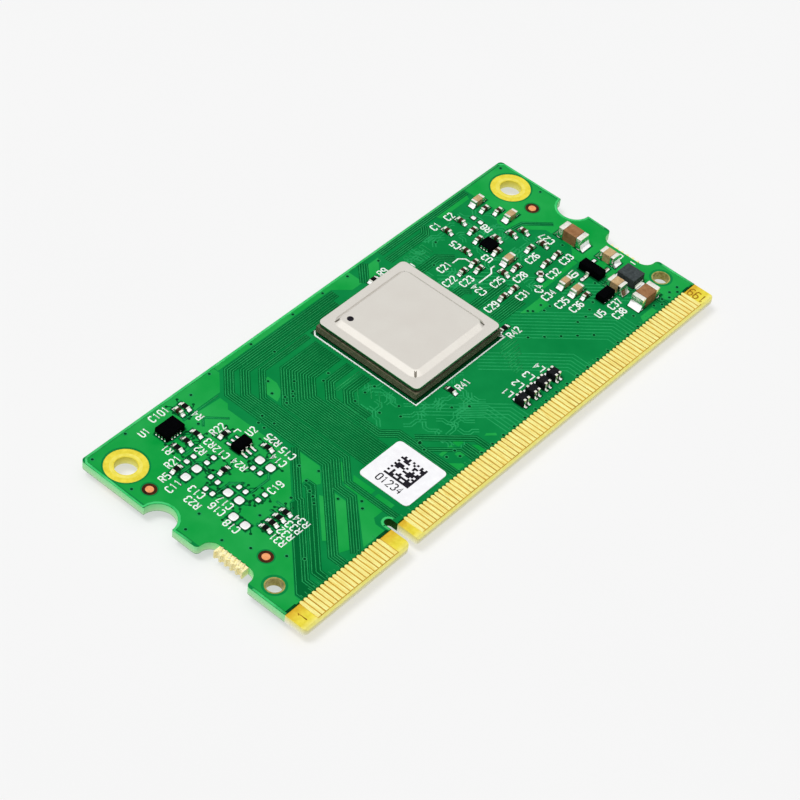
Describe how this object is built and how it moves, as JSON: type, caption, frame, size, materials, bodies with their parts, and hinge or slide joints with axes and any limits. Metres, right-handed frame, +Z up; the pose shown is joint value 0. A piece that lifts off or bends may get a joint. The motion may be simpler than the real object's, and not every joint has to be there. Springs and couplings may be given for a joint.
{
  "type": "system on module",
  "caption": "Plug-in computer module: green board with a keyed gold edge connector, a metal-lidded processor, small components on top, and memory and storage chips underneath.",
  "frame": {"origin": "under the middle of the board, at the level of the packages it rests on", "axes": "+X along the connector edge, +Y away from the connector edge, +Z up through the processor lid"},
  "size_m": [0.0676, 0.031, 0.0044],
  "materials": {
    "laminate": "bare glass-fibre laminate, fine woven grain at cut edges",
    "solder_mask": "smooth green coat, semi-gloss",
    "gold": "gold plated, polished",
    "copper": "bare copper, satin",
    "solder": "reflowed solder, bright",
    "tin": "tin plated, satin",
    "nickel": "nickel plated copper, satin with fine pressing marks",
    "substrate": "dark laminate, matte",
    "silicon": "polished silicon",
    "paste": "thermal paste, matte",
    "sealant": "cured adhesive, matte",
    "moulding": "black moulding compound, fine grained",
    "ceramic_brown": "fired ceramic, smooth",
    "ceramic_tan": "fired ceramic, smooth",
    "alumina": "white alumina, matte",
    "overcoat": "black glass overcoat, semi-gloss",
    "ferrite": "dark ferrite, matte",
    "label_paper": "white paper label, smooth"
  },
  "bodies": {
    "root": {"circuit_board": "laminate", "solder_mask_top": "solder_mask", "solder_mask_bottom": "solder_mask", "edge_contacts_top": "gold", "edge_contacts_bottom": "gold", "locating_hole_sleeves": "gold", "fiducial_dots": "copper", "bare_lands": "solder", "component_lands": "solder", "underside_lands": "solder", "solder_fillets": "solder", "processor_balls": "solder", "processor_substrate": "substrate", "processor_die": "silicon", "processor_thermal_paste": "paste", "processor_lid_sealant": "sealant", "processor_lid": "nickel", "memory_balls": "solder", "memory_package": "moulding", "storage_balls": "solder", "storage_package": "moulding", "underside_capacitor_bodies": "ceramic_brown", "underside_capacitor_terminals": "tin", "crystal_base": "alumina", "crystal_cover": "nickel", "switch_chip_body": "moulding", "switch_chip_contacts": "tin", "supply_chip_body": "moulding", "supply_chip_contacts": "tin", "gate_chip_body": "moulding", "gate_chip_leads": "tin", "converter_chip_body": "moulding", "converter_chip_contacts": "tin", "transistor_body": "moulding", "transistor_leads": "tin", "choke_bodies": "ferrite", "choke_terminals": "tin", "inductor_body": "ferrite", "inductor_terminals": "tin", "resistor_bodies": "alumina", "resistor_coats": "overcoat", "resistor_terminals": "tin", "small_capacitor_bodies": "ceramic_brown", "small_capacitor_terminals": "tin", "medium_capacitor_bodies": "ceramic_tan", "medium_capacitor_terminals": "tin", "large_capacitor_bodies": "ceramic_tan", "large_capacitor_terminals": "tin", "bulk_capacitor_bodies": "ceramic_brown", "bulk_capacitor_terminals": "tin", "code_label": "label_paper"}
  },
  "joints": []
}
